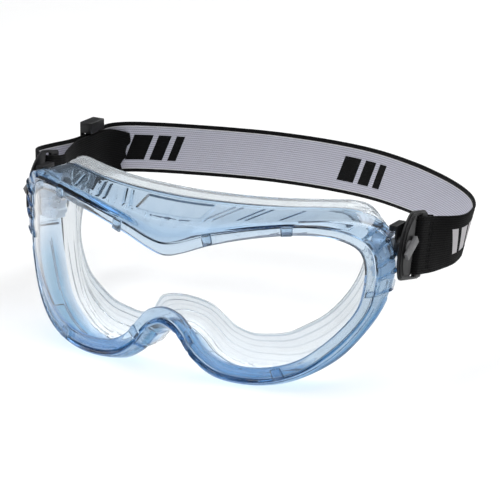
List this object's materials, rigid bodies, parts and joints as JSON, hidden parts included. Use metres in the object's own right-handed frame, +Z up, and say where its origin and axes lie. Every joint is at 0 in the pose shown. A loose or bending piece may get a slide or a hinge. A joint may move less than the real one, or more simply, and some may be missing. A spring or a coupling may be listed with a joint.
{
  "type": "safety goggles",
  "caption": "Wide-lens over-glasses safety goggles with a flexible clear frame, a soft face seal and a woven head strap on swivelling side clips.",
  "frame": {"origin": "below the middle of the whole box, on the surface that the goggles stand on", "axes": "+X to the wearer's left, +Y from the lens back to the strap, +Z up"},
  "size_m": [0.2054, 0.1484, 0.0752],
  "materials": {
    "frame_plastic": "clear blue flexible moulded vinyl, glossy",
    "lens_clear": "clear polycarbonate sheet, polished",
    "soft_seal": "clear soft elastomer with a satin surface",
    "vent_plastic": "clear blue moulded plastic with raised ribs",
    "black_plastic": "black injection-moulded plastic, semi-gloss",
    "post_plastic": "grey moulded plastic, satin",
    "washer_steel": "plain stamped steel",
    "strap_fabric": "woven elastic, black outside and grey inside with black edges",
    "thread": "black sewing thread"
  },
  "bodies": {
    "goggle_body": {"frame_shell": "frame_plastic", "lens": "lens_clear", "face_seal": "soft_seal", "brow_vent_insert": "vent_plastic", "cheek_vent_insert_left": "vent_plastic", "cheek_vent_insert_right": "vent_plastic", "side_anchor_left": "vent_plastic", "side_anchor_right": "vent_plastic", "outrigger_left": "black_plastic", "outrigger_right": "black_plastic", "swivel_post_left": "post_plastic", "swivel_post_right": "post_plastic", "post_washer_left": "washer_steel", "post_washer_right": "washer_steel"},
    "strap": {"strap_clip_left": "black_plastic", "head_strap": "strap_fabric", "loop_stitching": "thread"},
    "right_clip": {"strap_clip_right": "black_plastic"},
    "slider": {"strap_slider": "black_plastic"}
  },
  "joints": [
    {"name": "left_swivel", "type": "hinge", "parent": "goggle_body", "child": "strap", "pos_m": [0.09337, -0.02923, 0.0589], "axis": [1, 0, 0], "range_deg": [-25, 35]},
    {"name": "right_swivel", "type": "hinge", "parent": "goggle_body", "child": "right_clip", "pos_m": [-0.08763, -0.02923, 0.0589], "axis": [1, 0, 0], "range_deg": [-25, 35]},
    {"name": "slider_slide", "type": "slide", "parent": "strap", "child": "slider", "axis": [0, 1, 0], "range_m": [-0.008, 0.002]}
  ],
  "couplings": [
    {"joint": "right_swivel", "follows": "left_swivel", "ratio": 1}
  ]
}
